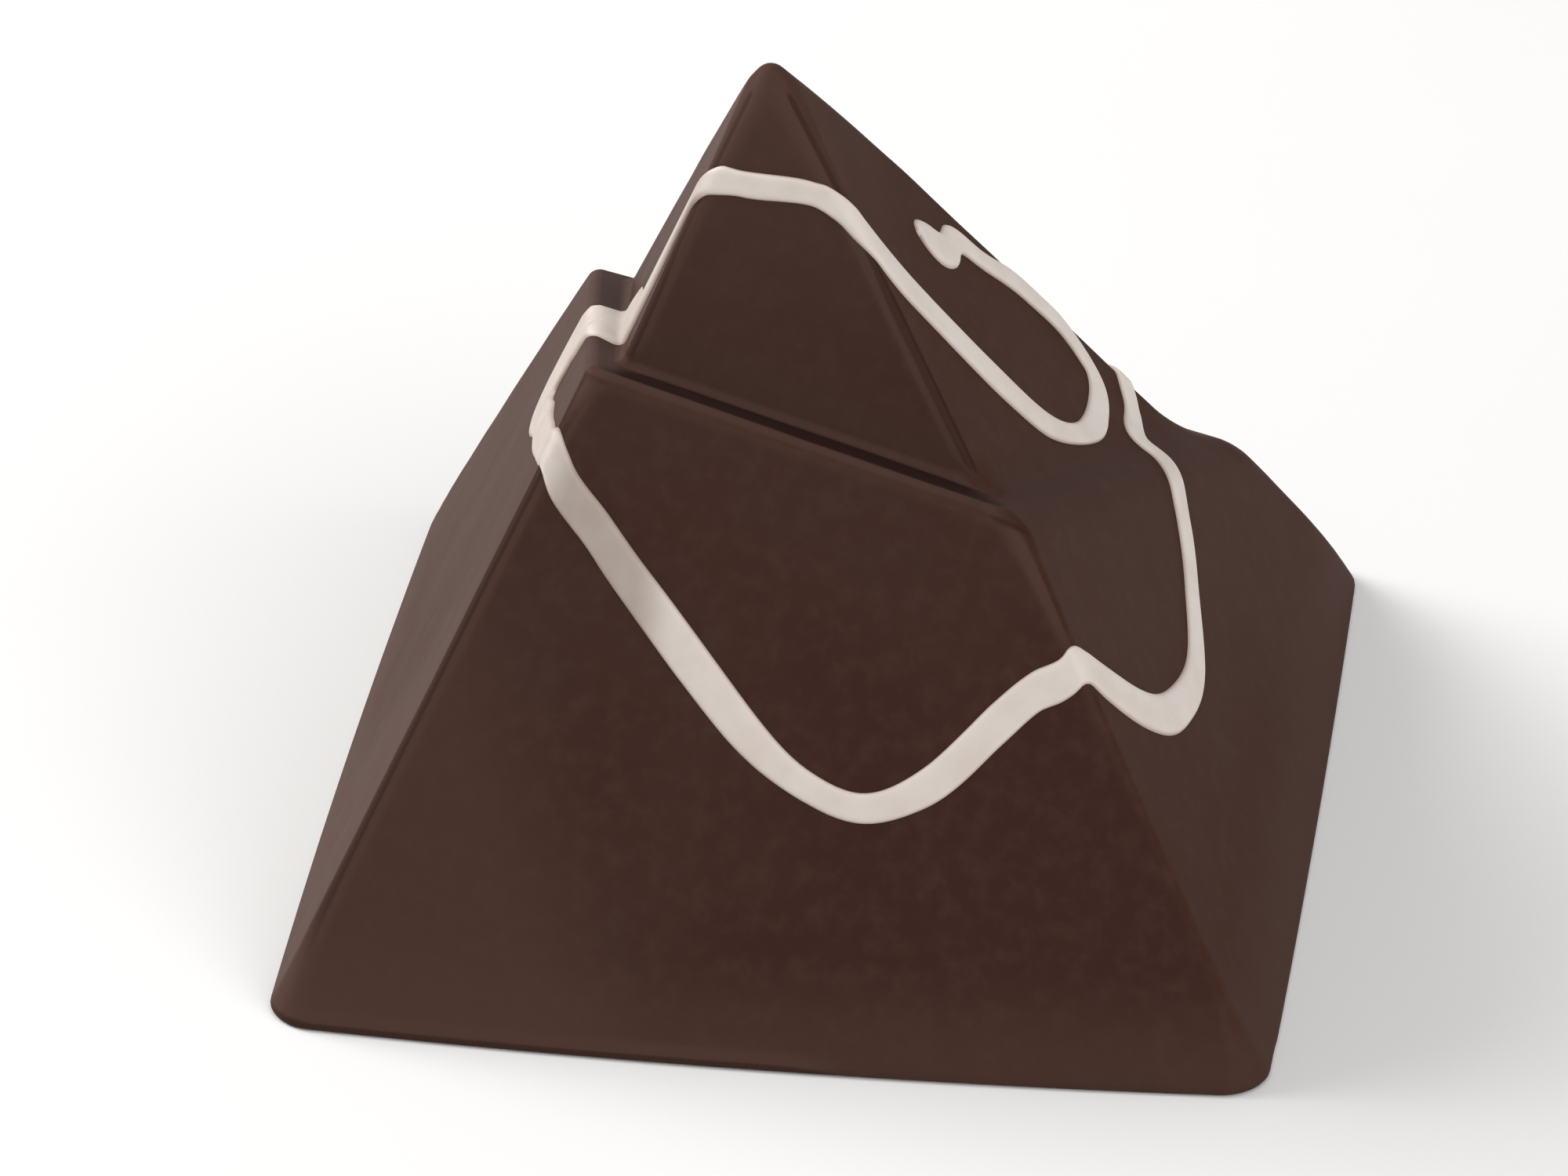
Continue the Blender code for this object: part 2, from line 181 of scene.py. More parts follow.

# The painted light and shade of the edges: how far below the rim the right edges fade, where along X that
# starts, and the share lost
EDGE_FADE = 7.0 * MM
FADE_START = (0.0, 8.0 * MM)
FADE_SHARE = 0.7

# The painted highlight beside the ledge: start above the ledge and fading of the hollow's light tone
HOLLOW_START = 1.2 * MM
HOLLOW_FADE = 4.0 * MM

# The painted shade on the ledge: where its dark front strip starts and ends, as shares of the ledge's width
# from its rim, and the height over and under the ledge in which it fades out
STRIP_START = (0.1, 0.3)
STRIP_END = (0.75, 1.0)
STRIP_DEPTH = (0.2 * MM, 0.5 * MM)

# How far a wall's normal points to the front, to either side or to the left where it begins to count as
# facing there, and where it counts fully
FACES_FRONT = (0.4, 0.6)
FACES_SIDE = (0.35, 0.75)
FACES_LEFT = (0.3, 0.8)

# How far the white line's painted shade runs out on the left ledge, and where along -X it starts
LEFT_SHADE_REACH = 1.8 * MM
LEFT_SHADE_START = (8.0 * MM, 12.0 * MM)

# Height at which the waves start, and over which they grow to their full depth
WAVE_START = 0.5 * MM
WAVE_GROWTH = 3.0 * MM

# How far the line's edges run on under the coating
EDGE_HIDDEN = 0.08 * MM

# Share of a bend's radius that the line's reach on the inner side of the bend may take
BEND_ROOM = 0.85

# The line's mesh: distance between its ribs, points across its top, and the stretch of the way over which
# its heading and its reach are averaged
RIB_STEP = 0.3 * MM
POINTS_ACROSS = 17
SMOOTH_STRETCH = 3.9 * MM

# The coating's mesh: columns on each side, rows on the lower walls, the ledge and the upper walls, and how
# much both crowd towards the edges
COLUMNS = 64
ROWS = (64, 30, 72)
CROWDING = 0.85

# The last ring's share of the way from the upper tier's foot to its tip
LAST_RING = 0.995

# Steps towards the skin: the longest one, the least square of the gradient, the steps taken for the rings
# and for the tip, and the halvings of a height
LONGEST_STEP = 2.0 * MM
LEAST_SQUARE = 0.05
RING_STEPS = 12
TIP_STEPS = 30
HALVINGS = 26

OUTWARD = np.array(((0, -1), (1, 0), (0, 1), (-1, 0)), float)
ALONG = np.array(((1, 0), (0, 1), (-1, 0), (0, -1)), float)
LEDGE_NORMAL = np.append(-LEDGE_SLOPE, 1.0)

# The camera: turned and raised round the origin, tilted, its distance, and the origin's place in its view
CAMERA_TURN = np.radians(8.41)
CAMERA_RISE = np.radians(31.31)
CAMERA_TILT = np.radians(-0.61)
CAMERA_BACK = 764.9 * MM
CAMERA_SIDE = 3.59 * MM
CAMERA_LIFT = -16.62 * MM
CAMERA_LENS = 215.3

# The soft lights: where each stands, and its width, in metres; and how far the floor lies under the base
KEY_LIGHT = ((-0.85, 0.3, 0.55), 0.6)
FILL_LIGHT = ((0.7, -0.65, 0.6), 0.8)
TOP_LIGHT = ((0.0, 0.15, 1.1), 0.9)
LIT_POINT = Vector((0.0, 0.0, 0.03))
FLOOR_DROP = 0.02 * MM


# Form of the cake: a distance function, negative inside and zero on the skin


def wall_distances(points, apex, reach, bow):
    """Distance of each point outside each of a tier's four walls.  A wall is the plane through its foot
    line and the tier's apex; its foot line bends back by the bow, as a parabola, towards the corners."""
    out = points[:, :2] @ OUTWARD.T
    along = points[:, :2] @ ALONG.T
    lean = (reach - OUTWARD @ apex[:2]) / apex[2]
    foot = reach - bow * (along / reach) ** 2
    return (out - foot + lean * points[:, 2:3]) / np.sqrt(1.0 + lean ** 2)


def rounded_meet(distances, radius):
    """What lies inside all of the surfaces, with the edges between them rounded by the radius."""
    radius = np.reshape(radius, (-1, 1))
    over = np.linalg.norm(np.maximum(distances + radius, 0.0), axis=1)
    return np.minimum(-radius[:, 0], distances.max(axis=1)) + over


def rounded_join(distances, radius):
    """What lies inside any of the surfaces, with the corners between them filled by the radius."""
    radius = np.reshape(radius, (-1, 1))
    under = np.linalg.norm(np.maximum(radius - distances, 0.0), axis=1)
    return np.maximum(radius[:, 0], distances.min(axis=1)) - under


def at_nearest_side(values, distances):
    """The values of the four sides, blended so that the nearest wall's value counts most."""
    weights = np.exp((distances - distances.max(axis=1, keepdims=True)) / SIDE_BLEND)
    return (weights @ values) / weights.sum(axis=1)


def skin(points):
    """Distance outside the cake: the lower walls meet each other, then the ledge; the upper walls meet
    each other; the two tiers join, and the whole meets the base plane."""
    height = points[:, 2]
    lower = wall_distances(points, LOWER_APEX, LOWER_REACH, LOWER_BOW)
    upper = wall_distances(points, UPPER_APEX, UPPER_REACH, UPPER_BOW)
    ledge = (points @ LEDGE_NORMAL - LEDGE_HEIGHT) / np.linalg.norm(LEDGE_NORMAL)
    near_base = np.exp(-np.maximum(height, 0.0) / ROUND_FADE)
    near_rim = np.exp(np.minimum(ledge, 0.0) / ROUND_FADE)
    shoulder = at_nearest_side(SHOULDER_ROUND, lower)
    edge = EDGE_ROUND + (CORNER_ROUND - EDGE_ROUND) * near_base + (shoulder - EDGE_ROUND) * near_rim
    tip = UPPER_ROUND + (TIP_ROUND - UPPER_ROUND) * np.clip((height - TIP_START) / TIP_SPAN, 0.0, 1.0) ** 2
    lower_tier = np.column_stack((rounded_meet(lower, edge), ledge))
    lower_tier = rounded_meet(lower_tier, at_nearest_side(RIM_ROUND, lower))
    tiers = np.column_stack((lower_tier, rounded_meet(upper, tip)))
    whole = rounded_join(tiers, at_nearest_side(FOOT_ROUND, upper))
    return rounded_meet(np.column_stack((whole, -height)), BASE_ROUND)


def gradient(points):
    """Direction in which the distance grows, from small differences along X, Y and Z."""
    delta = 0.001 * MM
    steps = delta * np.eye(3)
    return np.column_stack([(skin(points + s) - skin(points - s)) / (2.0 * delta) for s in steps])


def onto_skin(points, rounds):
    """The points moved to the cake's skin by Newton steps along the gradient."""
    for _ in range(rounds):
        slope = gradient(points)
        square = np.maximum((slope ** 2).sum(axis=1), LEAST_SQUARE)
        distance = np.clip(skin(points), -LONGEST_STEP, LONGEST_STEP)
        points = points - (distance / square)[:, None] * slope
    return points


def drop_on_skin(plan):
    """The points of the skin right above points of the plan, by halving the height's range."""
    low = np.zeros(len(plan))
    high = np.full(len(plan), UPPER_APEX[2])
    for _ in range(HALVINGS):
        middle = (low + high) / 2.0
        inside = skin(np.column_stack((plan, middle))) < 0.0
        low = np.where(inside, middle, low)
        high = np.where(inside, high, middle)
    return np.column_stack((plan, low))


def unit(vectors):
    """The vectors at length one."""
    return vectors / np.linalg.norm(vectors, axis=-1, keepdims=True)


def waves(points):
    """Height of the coating's faint waves, between about -1 and 1: a sum of sines along the directions of
    WAVES, fading out towards the base so that the cake still stands flat."""
    angle = 2.0 * np.pi * (points @ WAVES[:, :3].T) + WAVES[:, 3]
    fade = np.clip((points[:, 2] - WAVE_START) / WAVE_GROWTH, 0.0, 1.0)
    return fade * (np.sin(angle) @ WAVES[:, 4]) / np.sqrt((WAVES[:, 4] ** 2).sum()) / 2.0


def skin_bend(points, reach):
    """How sharply the skin bends, from -1 in a crease to 1 on an edge: the distances at six points around,
    that reach away, less six times the distance here, over the reach."""
    around = [skin(points + s * step) for step in reach * np.eye(3) for s in (-1.0, 1.0)]
    return np.clip((sum(around) - 6.0 * skin(points)) / reach, -1.0, 1.0)


def step_between(values, low, high):
    """0 at and below the low end, 1 at and above the high end, and a smooth step between them."""
    share = np.clip((values - low) / (high - low), 0.0, 1.0)
    return share * share * (3.0 - 2.0 * share)


def coating_shares(points):
    """Numbers kept on the coating for its painted light and shade.  Edge: 1 on the slanting edges, fading
    down the right ones, and near the tip a narrow line where two walls meet, for their dark lines of painted
    shade.
    Flank: 1 beside those edges on walls that face the front, for a painted highlight.  Rim: 1 on the ledge's
    rim, for a painted highlight.  Fillet: 1 in the rounded foot of the upper tier, for a painted highlight.
    Ledge shade: 1 on the ledge's front strip, for painted shade.  Hollow: 1 on the upper front wall beside
    the ledge, fading upwards, for a painted highlight.  Side: 1 on walls that face left or right, for their
    painted warmer tone."""
    bend = skin_bend(points, BEND_REACH)
    lower = wall_distances(points, LOWER_APEX, LOWER_REACH, LOWER_BOW)
    upper = wall_distances(points, UPPER_APEX, UPPER_REACH, UPPER_BOW)
    above = (points @ LEDGE_NORMAL - LEDGE_HEIGHT) / np.linalg.norm(LEDGE_NORMAL)
    front = np.array((1.0, 0.0, 0.0, 0.0))
    on_rim = np.exp(-(above / RIM_REACH) ** 2)
    fading = step_between(points[:, 0], *FADE_START) * (1.0 - np.exp(np.minimum(above, 0.0) / EDGE_FADE))
    across = lower[:, 0] / np.minimum(lower[:, 0] - upper[:, 0], -0.01 * MM)
    # Painted shade on the ledge's front strip, by its share of the ledge's width
    ledge_shade = step_between(across, *STRIP_START) * (1.0 - step_between(across, *STRIP_END))
    # Painted highlight on the upper front wall just above the ledge
    beside = np.exp(-np.maximum(above - HOLLOW_START, 0.0) / HOLLOW_FADE) * np.clip(above / MM, 0.0, 1.0)
    strip = 1.0 - step_between(np.abs(above), *STRIP_DEPTH)
    gap = np.diff(np.sort(upper, axis=1)[:, 2:], axis=1)[:, 0]
    facing = unit(gradient(points))
    under_tip = 1.0 - step_between(points[:, 2], *TIP_LINE_END)
    near_tip = step_between(points[:, 2], *NEAR_TIP)
    # Edge: dark lines of painted shade on the slanting edges, and near the tip where two walls meet
    edge = np.maximum(bend, 0.0) * (1.0 - on_rim) * (1.0 - FADE_SHARE * fading)
    edge = edge * (1.0 - near_tip) + TIP_LINE_SHARE * np.exp(-(gap / TIP_LINE) ** 2) * near_tip
    # Flank: painted highlight beside the edges
    flank = np.maximum(skin_bend(points, FLANK_REACH), 0.0) * (1.0 - np.exp(-(above / RIM_CLEAR) ** 2))
    return {
        "edge": edge * under_tip,
        "flank": flank * (1.0 - fading) * step_between(-facing[:, 1], *FACES_FRONT),
        # Rim: painted highlight on the ledge's rim
        "rim": np.maximum(bend, 0.0) * on_rim,
        # Fillet: painted highlight in the rounded foot of the upper tier
        "fillet": np.maximum(-bend, 0.0),
        "ledge_shade": ledge_shade * at_nearest_side(front, lower) * strip,
        "hollow": beside * at_nearest_side(front, upper),
        # Side: where the painted warmer tone goes
        "side": step_between(np.abs(facing[:, 0]), *FACES_SIDE),
    }


def lee_share(points):
    """Where the white line gets painted shade: 1 on walls that face left, and on the left ledge beside the
    foot of the upper tier."""
    upper = wall_distances(points, UPPER_APEX, UPPER_REACH, UPPER_BOW)
    facing = step_between(-unit(gradient(points))[:, 0], *FACES_LEFT)
    beside = np.exp(-(np.maximum(upper[:, 3], 0.0) / LEFT_SHADE_REACH) ** 2)
    return np.maximum(facing, beside * step_between(-points[:, 0], *LEFT_SHADE_START))


# Meshes


def crowded(count, pull):
    """Shares from 0 to 1 that crowd towards both ends, as a mix of even steps and a half cosine."""
    even = np.linspace(0.0, 1.0, count + 1)
    return (1.0 - pull) * even + pull * (1.0 - np.cos(np.pi * even)) / 2.0


def grid_faces(rows, size):
    """Quads between neighbouring rings of points, each ring closed, numbered ring by ring."""
    ring, spot = np.divmod(np.arange((rows - 1) * size), size)
    after = (spot + 1) % size
    start = ring * size
    return np.column_stack((start + spot, start + after, start + size + after, start + size + spot)).tolist()


def add_piece(name, points, faces, material, shares):
    """A smooth mesh object at the origin, which rides on the body, stands for the solid and takes the given
    material.  Shares are numbers kept on its vertices, by name."""
    mesh = bpy.data.meshes.new(name)
    mesh.from_pydata(points.tolist(), [], faces)
    mesh.shade_smooth()
    for label, values in shares.items():
        kept = mesh.attributes.new(label, "FLOAT", "POINT")
        kept.data.foreach_set("value", np.ascontiguousarray(values, np.float32))
    mesh.materials.append(material)
    piece = bpy.data.objects.new(name, mesh)
    bpy.context.scene.collection.objects.link(piece)
    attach(piece, "root")
    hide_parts(NODE)


def foot_points(turns, reach):
    """Points of a tier's square foot: the turn runs from 0 at the front left corner to 4, a side each."""
    front, right, back, left = reach
    corners = np.array(((-left, -front), (right, -front), (right, back), (-left, back)))
    side = turns.astype(int) % 4
    share = (turns - turns.astype(int))[:, None]
    plan = corners[side] * (1.0 - share) + corners[(side + 1) % 4] * share
    return np.column_stack((plan, np.zeros(len(turns))))


def cut_at_ledge(foot, apex):
    """Where the lines from the foot points to the apex pass through the ledge's plane."""
    share = (LEDGE_HEIGHT - foot @ LEDGE_NORMAL) / ((apex - foot) @ LEDGE_NORMAL)
    return foot + share[:, None] * (apex - foot)


def coating_grid():
    """Rings of points on the skin, from the flat base's border to the tip.  Each point starts on the
    sharp-edged form, at a turn round it and a rise up it, and is moved onto the rounded skin."""
    turns = (np.arange(4)[:, None] + crowded(COLUMNS, CROWDING)[None, :-1]).ravel()
    base = foot_points(turns, LOWER_REACH)
    rim = cut_at_ledge(base, LOWER_APEX)
    foot = cut_at_ledge(foot_points(turns, UPPER_REACH), UPPER_APEX)
    top = np.broadcast_to(UPPER_APEX, base.shape)
    bands = ((base, rim), (rim, foot), (foot, top))
    rings = [low + share * (high - low)
             for (low, high), count in zip(bands, ROWS) for share in crowded(count, CROWDING)[:-1]]
    rings.append(foot + LAST_RING * (top - foot))
    start = np.concatenate(rings)
    return onto_skin(start, RING_STEPS).reshape(len(rings), len(turns), 3)


def coating_mesh(depth):
    """Points, faces and kept numbers of the coating: its rings with their waves, the base's border, and
    the tip."""
    grid = coating_grid()
    size = grid.shape[1]
    points = np.concatenate((grid.reshape(-1, 3), onto_skin(UPPER_APEX[None, :], TIP_STEPS)))
    lift = waves(points) * depth
    points = points + unit(gradient(points)) * lift[:, None]
    border = points[:size] - unit(points[:size]) * BASE_ROUND
    border[:, 2] = 0.0
    points = np.concatenate((border, points))
    rows = grid.shape[0] + 1
    last = (rows - 1) * size
    faces = grid_faces(rows, size)
    faces += [(last + spot, last + (spot + 1) % size, last + size) for spot in range(size)]
    faces.append(tuple(range(size - 1, -1, -1)))
    return points, faces, coating_shares(points)


def smooth_way(points, per_gap=24):
    """A centripetal Catmull-Rom curve through the rows of points, with all their columns."""
    rows = np.vstack((2 * points[0] - points[1], points, 2 * points[-1] - points[-2]))
    gaps = np.sqrt(np.linalg.norm(np.diff(rows[:, :2], axis=0), axis=1))
    knots = np.concatenate(([0.0], np.cumsum(gaps)))
    pieces = []
    for first in range(len(rows) - 3):
        t0, t1, t2, t3 = knots[first:first + 4]
        p0, p1, p2, p3 = rows[first:first + 4]
        t = np.linspace(t1, t2, per_gap, endpoint=False)[:, None]
        a = (p0 * (t1 - t) + p1 * (t - t0)) / (t1 - t0)
        b = (p1 * (t2 - t) + p2 * (t - t1)) / (t2 - t1)
        c = (p2 * (t3 - t) + p3 * (t - t2)) / (t3 - t2)
        d = (a * (t2 - t) + b * (t - t0)) / (t2 - t0)
        e = (b * (t3 - t) + c * (t - t1)) / (t3 - t1)
        pieces.append((d * (t2 - t) + e * (t - t1)) / (t2 - t1))
    return np.vstack(pieces + [points[-1:]])


def even_way(step):
    """The way with its points a step apart on the skin: plan, both reaches and the distance run."""
    way = smooth_way(LINE_WAY)
    places = drop_on_skin(way[:, :2])
    run = np.concatenate(([0.0], np.cumsum(np.linalg.norm(np.diff(places, axis=0), axis=1))))
    even = np.linspace(0.0, run[-1], int(run[-1] / step) + 1)
    plan = np.column_stack([np.interp(even, run, column) for column in way.T])
    return plan[:, :2], plan[:, 2:], even


def running_mean(rows, span):
    """The mean of each row and its neighbours, the span being an odd number of rows."""
    padded = np.pad(rows, ((span // 2, span // 2), (0, 0)), mode="edge")
    return sum(padded[shift:shift + len(rows)] for shift in range(span)) / span


def wobble(run, start):
    """A soft unevenness of a poured edge along its run: three sines 5, 9 and 17 mm long."""
    turns = 2.0 * np.pi * run / MM
    long_ones = np.sin(turns / 9.3 + 2.0 * start) + np.sin(turns / 17.0 + start)
    return 0.4 * np.sin(turns / 5.1 + start) + long_ones


def line_ribs(step, shares, unevenness):
    """Ribs of points across the line, on the skin.  In the plan a rib is square to the way, and its
    reach is shortened where it climbs a wall, so that the band keeps its width on the wall itself.
    Inside a bend the reach stays under the bend's radius, and it shrinks to nothing as a half circle
    at the ends."""
    plan, reach, run = even_way(step)
    reach = reach + EDGE_HIDDEN + unevenness * np.column_stack((wobble(run, 0.7), wobble(run, 2.9)))
    slope = gradient(drop_on_skin(plan))
    slope = -slope[:, :2] / slope[:, 2:]
    span = int(SMOOTH_STRETCH / step / 2) * 2 + 1
    heading = unit(running_mean(unit(np.gradient(plan, axis=0)), span))
    climb = (slope * heading).sum(axis=1)
    narrowing = np.sqrt((1.0 + climb ** 2) / (1.0 + (slope ** 2).sum(axis=1)))
    ahead = np.gradient(heading, axis=0) / np.linalg.norm(np.gradient(plan, axis=0), axis=1)[:, None]
    bend = heading[:, 0] * ahead[:, 1] - heading[:, 1] * ahead[:, 0]
    room = BEND_ROOM / np.maximum(np.column_stack((bend, -bend)), 1.0)
    reach = running_mean(np.minimum(reach, room), span)
    to_end = np.minimum(run, run[-1] - run)[:, None]
    reach = reach * np.sqrt(1.0 - (1.0 - np.clip(to_end / reach, 0.02, 1.0)) ** 2)
    reach = reach * running_mean(narrowing[:, None], span)
    leftwards = np.column_stack((-heading[:, 1], heading[:, 0]))
    offset = np.where(shares > 0.0, shares * reach[:, :1], shares * reach[:, 1:])
    ribs = plan[:, None] + offset[:, :, None] * leftwards[:, None]
    return drop_on_skin(ribs.reshape(-1, 2)).reshape(ribs.shape[0], ribs.shape[1], 3)


def line_mesh(height, sunk, unevenness, depth):
    """Points, faces and kept numbers of the line: a low, almost flat top over the skin, rising as one minus
    the eighth power of the share across, its edges just under the skin, and an underside a little below."""
    shares = np.sin(np.linspace(-1.0, 1.0, POINTS_ACROSS) * np.pi / 2.0)[None, :]
    ribs = line_ribs(RIB_STEP, shares, unevenness)
    count = len(ribs)
    flat = ribs.reshape(-1, 3)
    normals = unit(gradient(flat))
    swell = (waves(flat) * depth)[:, None] * normals
    lift = (height + sunk) * (1.0 - shares[:, :, None] ** 8) - sunk
    normals = normals.reshape(ribs.shape)
    swell = swell.reshape(ribs.shape)
    top = (ribs + swell + normals * lift)[:, ::-1]
    under = (ribs - normals * 2.5 * sunk)[:, 1:-1:2]
    rings = np.concatenate((top, under), axis=1)
    size = rings.shape[1]
    faces = grid_faces(count, size)
    last = (count - 1) * size
    faces.append(tuple(range(size - 1, -1, -1)))
    faces.append(tuple(range(last, last + size)))
    rim = np.concatenate((np.abs(shares), np.abs(shares)[:, 1:-1:2]), axis=1)
    points = rings.reshape(-1, 3)
    # lee: where the white line gets painted shade
    kept = {"rim": np.broadcast_to(rim, (count, size)).ravel(), "lee": lee_share(points)}
    return points, faces, kept


# Materials


class Nodes:
    """A material's node tree, with short calls to add its nodes and links."""

    def __init__(self, name):
        self.material = bpy.data.materials.new(name)
        self.material.use_nodes = True
        self.tree = self.material.node_tree
        self.shader = self.tree.nodes["Principled BSDF"]
        self.place = self.tree.nodes.new("ShaderNodeTexCoord").outputs["Object"]

    def link(self, source, socket):
        """Joins an output to an input, or sets the input to a plain number."""
        if isinstance(source, (int, float)):
            socket.default_value = source
        else:
            self.tree.links.new(source, socket)

    def noise(self, scale, detail, roughness=0.5, lacunarity=2.0):
        """Values of a noise with so many features for each metre."""
        made = self.tree.nodes.new("ShaderNodeTexNoise")
        made.inputs["Scale"].default_value = scale
        made.inputs["Detail"].default_value = detail
        made.inputs["Roughness"].default_value = roughness
        made.inputs["Lacunarity"].default_value = lacunarity
        self.tree.links.new(self.place, made.inputs["Vector"])
        return made.outputs["Fac"]

    def along(self, direction):
        """How far a point lies along a direction, in units of one over the direction's length."""
        made = self.tree.nodes.new("ShaderNodeVectorMath")
        made.operation = "DOT_PRODUCT"
        made.inputs[1].default_value = direction
        self.tree.links.new(self.place, made.inputs[0])
        return made.outputs["Value"]

    def kept(self, label):
        """The number kept on the mesh's vertices under that name."""
        made = self.tree.nodes.new("ShaderNodeAttribute")
        made.attribute_name = label
        return made.outputs["Fac"]

    def ramp(self, value, start, end, low, high):
        """The value's range from start to end, spread smoothly over low to high."""
        made = self.tree.nodes.new("ShaderNodeMapRange")
        made.interpolation_type = "SMOOTHSTEP"
        self.tree.links.new(value, made.inputs["Value"])
        for label, number in (("From Min", start), ("From Max", end), ("To Min", low), ("To Max", high)):
            made.inputs[label].default_value = number
        return made.outputs["Result"]

    def blend(self, share, first, second, way="MIX"):
        """A mix of two colours by a share, each a colour or another node's output."""
        made = self.tree.nodes.new("ShaderNodeMix")
        made.data_type = "RGBA"
        made.blend_type = way
        self.link(share, made.inputs["Factor"])
        for source, number in ((first, 6), (second, 7)):
            if isinstance(source, (tuple, list)):
                made.inputs[number].default_value = (*source, 1.0)
            else:
                self.tree.links.new(source, made.inputs[number])
        return made.outputs[2]

    def sums(self, way, first, second):
        """The two values added, multiplied or the like."""
        made = self.tree.nodes.new("ShaderNodeMath")
        made.operation = way
        self.link(first, made.inputs[0])
        self.link(second, made.inputs[1])
        return made.outputs[0]

    def bump(self, value, distance, strength=1.0):
        """Bump of the shader's normal by the value, at that height in metres."""
        made = self.tree.nodes.new("ShaderNodeBump")
        made.inputs["Distance"].default_value = distance
        made.inputs["Strength"].default_value = strength
        self.tree.links.new(value, made.inputs["Height"])
        self.tree.links.new(made.outputs["Normal"], self.shader.inputs["Normal"])


def dark_chocolate(look):
    """Satin dark chocolate: its tone drifts in soft patches from a grey brown, high up, to a red brown, low
    down and at the right, the grey standing for a painted sheen; it is painted warmer on the side walls,
    against their grazing reflection.  A fine mottle lies over it; the tip and the front's left part are a
    little lighter, as a painted highlight and a painted sheen, and the foot is a little lighter too.  The
    slanting edges are thin dark lines of painted shade with painted highlights on their flanks, the ledge's
    rim is a thin painted highlight, the upper tier's rounded foot and the wall just above the ledge are
    painted lighter, the ledge's front strip is painted shade, and a fine grain breaks up the gloss."""
    nodes = Nodes("satin_dark_chocolate")
    # The lighter brown serves the random mottle and the painted highlights and sheen
    mottle_and_highlight = tuple(look.mottle_and_highlight)
    patches = nodes.noise(50.0, 3.0, 0.55)
    mottle = nodes.noise(620.0, 4.0, 0.6)
    edge, rim = nodes.kept("edge"), nodes.kept("rim")
    height = nodes.along((0.0, 0.0, 1.0))
    # Painted sheen: grey brown higher up and to the left over the red brown, mixed with random patches
    drift = nodes.sums("ADD", nodes.along((7.0, 0.0, -10.0)), patches)
    colour = nodes.blend(nodes.ramp(drift, -0.1, 0.5, 0.0, 1.0), tuple(look.grey), tuple(look.red))
    # Painted: a warmer tone on walls facing left or right, set against their grazing reflection
    colour = nodes.blend(nodes.kept("side"), colour, tuple(look.side))
    colour = nodes.blend(nodes.ramp(mottle, 0.4, 0.75, 0.0, 0.3), colour, mottle_and_highlight)
    # Painted sheen on the front's left part
    colour = nodes.blend(nodes.ramp(nodes.along((-1.0, -0.8, 0.0)), 0.038, 0.05, 0.0, 0.55), colour, mottle_and_highlight)
    colour = nodes.blend(nodes.ramp(height, 0.009, 0.001, 0.0, 0.5), colour, mottle_and_highlight)
    # Painted highlight near the tip, broken up by the patches
    tip = nodes.sums("MULTIPLY", nodes.ramp(height, 0.044, 0.066, 0.0, 0.75),
                     nodes.ramp(patches, 0.35, 0.6, 0.3, 1.0))
    colour = nodes.blend(tip, colour, mottle_and_highlight)
    # Painted highlight on the upper front wall just above the ledge
    colour = nodes.blend(nodes.ramp(nodes.kept("hollow"), 0.1, 1.0, 0.0, 0.45), colour, mottle_and_highlight)
    # Painted highlights beside the slanting edges
    colour = nodes.blend(nodes.ramp(nodes.kept("flank"), 0.0, 0.5, 0.0, 0.8), colour, mottle_and_highlight)
    # Painted shade: dark lines on the slanting edges and near the tip
    colour = nodes.blend(nodes.ramp(edge, 0.25, 0.6, 0.0, 0.6), colour, tuple(look.edge))
    # Painted shade on the ledge's front strip
    colour = nodes.blend(nodes.ramp(nodes.kept("ledge_shade"), 0.0, 0.8, 0.0, 0.8), colour, tuple(look.crease))
    # Painted highlight in the rounded foot of the upper tier
    colour = nodes.blend(nodes.ramp(nodes.kept("fillet"), 0.2, 0.7, 0.0, 0.5), colour, mottle_and_highlight)
    # Painted highlight along the ledge's rim
    colour = nodes.blend(nodes.ramp(rim, 0.2, 0.6, 0.0, 0.6), colour, mottle_and_highlight)
    nodes.link(colour, nodes.shader.inputs["Base Color"])
    sheen = nodes.sums("ADD", nodes.ramp(patches, 0.3, 0.7, look.roughness - 0.015, look.roughness + 0.02),
                       nodes.ramp(mottle, 0.3, 0.7, -0.015, 0.02))
    nodes.link(sheen, nodes.shader.inputs["Roughness"])
    nodes.shader.inputs["Specular IOR Level"].default_value = look.gloss
    nodes.shader.inputs["Specular Tint"].default_value = (1.0, 0.86, 0.76, 1.0)
    nodes.shader.inputs["IOR"].default_value = 1.46
    nodes.bump(nodes.sums("ADD", nodes.noise(1500.0, 3.0, 0.6), mottle), 0.00002, 0.5)
    return nodes.material


